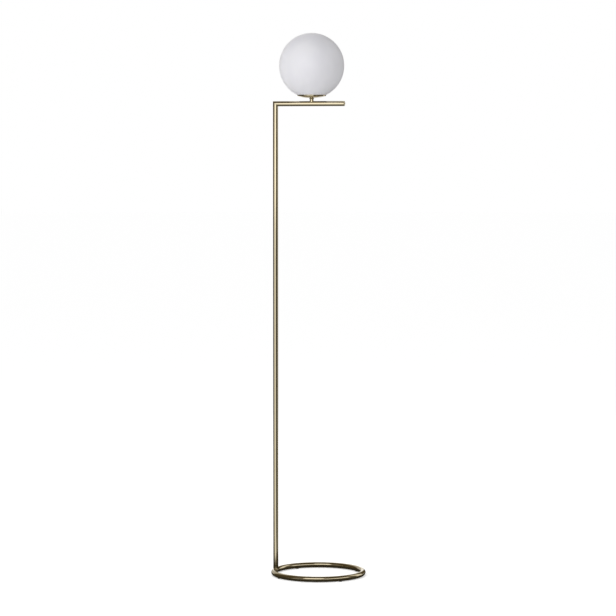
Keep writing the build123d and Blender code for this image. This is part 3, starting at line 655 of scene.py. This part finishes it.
FLOOR_RADIUS = 40.0
FLOOR_STEPS = 64
FLOOR_COLOUR = (0.90, 0.90, 0.90, 1.0)
FLOOR_LIFT = 0.45  # the floor's own white, below which a shadow still shows
PAPER_SCALE = 700.0  # per metre
# in the metal the floor glows with a painted reflection of the studio and a painted sheen at a low angle;
# seen from above it is dark, and close to the ring it holds a painted shadow
PAINTED_SHEEN_FACING = (0.30, 0.64)  # of Layer Weight's Facing, where the painted sheen starts and where it is whole
PAINTED_SHEEN_FROM_ABOVE = 0.22  # what is left of that painted sheen from above
PAINTED_SHADOW_RADII = (0.24, 0.38)  # metres from the origin, between which the painted shadow under the lamp fades out
# the colour of that painted shadow, which is also the least that the floor glows in the metal
PAINTED_SHADOW_COLOUR = (0.034, 0.027, 0.014)
# the floor's colour in the metal, painted dark so that only its painted glow shows there
FLOOR_PAINTED_DARK = (0.03, 0.03, 0.03, 1.0)


def add_light(name, azimuth, elevation, distance, size, power):
    lamp = bpy.data.lights.new(name, "AREA")
    lamp.size = size
    lamp.energy = power
    holder = bpy.data.objects.new(name, lamp)
    bpy.context.scene.collection.objects.link(holder)
    away = direction(azimuth, elevation)
    holder.location = CAMERA_TARGET + away * distance
    holder.rotation_euler = away.to_track_quat("Z", "Y").to_euler()
    holder.visible_glossy = False  # the metal mirrors the soft boxes and the horizon instead


def azimuth_of(graph, way):
    """The azimuth of a direction or place, in radians, and its height."""
    x, y, z = graph.node("SeparateXYZ", {0: way}).outputs[:3]
    return graph.math("ARCTAN2", x, graph.math("MULTIPLY", y, -1.0)), z


def band(graph, azimuth, middle, half_width, soft):
    """1 within half_width degrees of an azimuth, with a soft edge."""
    turn = graph.math("SUBTRACT", azimuth, math.radians(middle))
    wrap = graph.node("Math", {0: turn, 1: math.pi, 2: -math.pi}, operation="WRAP").outputs[0]
    edge = math.radians(half_width + soft / 2)
    return graph.smooth(graph.math("ABSOLUTE", wrap), edge, edge - math.radians(soft))


def horizon(graph, azimuth, front):
    """The brightness round the horizon. front scales its first part."""
    total = None
    for number, (middle, half_width, brightness) in enumerate(HORIZON):
        level = graph.math("MULTIPLY", band(graph, azimuth, middle, half_width, HORIZON_SOFT), brightness)
        if number == 0:
            level = graph.math("MULTIPLY", level, front)
        total = level if total is None else graph.math("ADD", total, level)
    return total


def grey(graph, level):
    return graph.node("CombineColor", {0: level, 1: level, 2: level}).outputs[0]


def mirrored_rays(graph):
    """The camera's rays, and those that metal and glass send on."""
    rays = graph.node("LightPath").outputs
    return rays["Is Camera Ray"], graph.math("MAXIMUM", rays["Is Glossy Ray"], rays["Is Transmission Ray"])


def build_world():
    """White behind the lamp for the eye, a studio in the metal, and a plain level for the light."""
    world = bpy.data.worlds.new("studio")
    bpy.context.scene.world = world
    graph = Graph(world)
    azimuth, z = azimuth_of(graph, graph.node("TexCoord").outputs["Generated"])
    elevation = graph.math("ARCSINE", z)
    gone, whole = (math.radians(edge) for edge in HORIZON_TOP)
    below_top = graph.smooth(elevation, gone, whole)
    above, below = (math.radians(edge) for edge in FRONT_EDGE)
    front = graph.smooth(elevation, above, below, to_low=FRONT_ABOVE_FLOOR)
    level = graph.math("MULTIPLY", horizon(graph, azimuth, front), below_top)
    studio = graph.vector("ADD", grey(graph, level), ROOM_COLOUR)
    camera, mirrored = mirrored_rays(graph)
    backdrop = graph.mix(camera, studio, WHITE)
    fill = (FILL_LEVEL, FILL_LEVEL, FILL_LEVEL, 1.0)
    colour = graph.mix(graph.math("MAXIMUM", camera, mirrored), fill, backdrop)
    background = graph.node("Background", {"Color": colour})
    graph.node("OutputWorld", {"Surface": background.outputs[0]})


def build_floor():
    """A pale floor that reads white and keeps the lamp's shadow. In the metal it glows with a painted
    reflection of the studio and a painted sheen, and has a painted shadow under the lamp.
    """
    material, graph = new_material("floor")
    camera, mirrored = mirrored_rays(graph)
    place = graph.place()
    azimuth = azimuth_of(graph, place)[0]
    # painted shadow: near the origin the floor's glow in the metal fades to dark
    outside_painted_shadow = graph.smooth(graph.vector("LENGTH", place), *PAINTED_SHADOW_RADII)
    facing = graph.node("LayerWeight", {"Blend": 0.5}).outputs["Facing"]
    painted_sheen = graph.smooth(facing, *PAINTED_SHEEN_FACING, to_low=PAINTED_SHEEN_FROM_ABOVE)
    # painted reflection: in the metal the floor glows with the studio round the horizon, times the painted
    # sheen
    painted_reflection = graph.math("MULTIPLY", horizon(graph, azimuth, 1.0), graph.math("MULTIPLY", outside_painted_shadow, painted_sheen))
    painted_glow = graph.vector("ADD", grey(graph, painted_reflection), PAINTED_SHADOW_COLOUR)
    lift = grey(graph, graph.math("MULTIPLY", camera, FLOOR_LIFT))
    paper = graph.bump(graph.noise(place, scale=PAPER_SCALE, detail=3.0), strength=0.05, distance=0.1 * MM)
    # painted dark for mirrored rays, which see only the painted glow
    colour = graph.mix(mirrored, FLOOR_COLOUR, FLOOR_PAINTED_DARK)
    diffuse = graph.node("BsdfDiffuse", {"Color": colour, "Normal": paper})
    glow = graph.node("Emission", {"Color": graph.mix(mirrored, lift, painted_glow)})
    both = graph.node("AddShader", {0: diffuse.outputs[0], 1: glow.outputs[0]})
    graph.node("OutputMaterial", {"Surface": both.outputs[0]})

    mesh = bpy.data.meshes.new("floor")
    turns = [2 * math.pi * i / FLOOR_STEPS for i in range(FLOOR_STEPS)]
    rim = [(FLOOR_RADIUS * math.cos(a), FLOOR_RADIUS * math.sin(a), 0.0) for a in turns]
    mesh.from_pydata(rim, [], [range(FLOOR_STEPS)])
    mesh.materials.append(material)
    floor = bpy.data.objects.new("floor", mesh)
    bpy.context.scene.collection.objects.link(floor)


def build_soft_box(name, middle, half_width, distance, lowest, highest, brightness):
    """A sheet of light that the metal mirrors. It shows in nothing else."""
    material, graph = new_material(name)
    place = graph.place()
    azimuth, z = azimuth_of(graph, place)
    across = band(graph, azimuth, middle, half_width, BOX_SOFT)
    low = graph.smooth(z, lowest, lowest + BOX_EDGE)
    high = graph.smooth(z, highest, highest - BOX_EDGE)
    shown = graph.math("MULTIPLY", graph.math("MULTIPLY", across, low), high)
    clear = graph.node("BsdfTransparent")
    glow = graph.node("Emission", {"Color": WHITE, "Strength": brightness})
    both = graph.node("MixShader", {0: shown, 1: clear.outputs[0], 2: glow.outputs[0]})
    graph.node("OutputMaterial", {"Surface": both.outputs[0]})

    mesh = bpy.data.meshes.new(name)
    first = middle - half_width - BOX_SOFT
    turn = 2 * (half_width + BOX_SOFT) / BOX_STEPS
    ways = [direction(first + turn * i, 0.0) * distance for i in range(BOX_STEPS + 1)]
    vertices = [(w.x, w.y, height) for w in ways for height in (lowest, highest)]
    mesh.from_pydata(vertices, [], [(2 * i, 2 * i + 2, 2 * i + 3, 2 * i + 1) for i in range(BOX_STEPS)])
    mesh.materials.append(material)
    sheet = bpy.data.objects.new(name, mesh)
    bpy.context.scene.collection.objects.link(sheet)
    for kind in ("camera", "diffuse", "shadow", "volume_scatter"):
        setattr(sheet, "visible_" + kind, False)


def build_camera():
    lens = bpy.data.cameras.new("camera")
    lens.sensor_width = CAMERA_SENSOR
    lens.lens = CAMERA_LENS
    camera = bpy.data.objects.new("camera", lens)
    bpy.context.scene.collection.objects.link(camera)
    back = direction(CAMERA_AZIMUTH, CAMERA_ELEVATION)
    camera.location = CAMERA_TARGET + back * CAMERA_DISTANCE
    camera.rotation_euler = back.to_track_quat("Z", "Y").to_euler()
    bpy.context.scene.camera = camera


build_world()
build_floor()
for sheet_of_light in SOFT_BOXES:
    build_soft_box(*sheet_of_light)
for lamp in LAMPS:
    add_light(*lamp)
build_camera()
bpy.context.scene.view_settings.view_transform = "Standard"
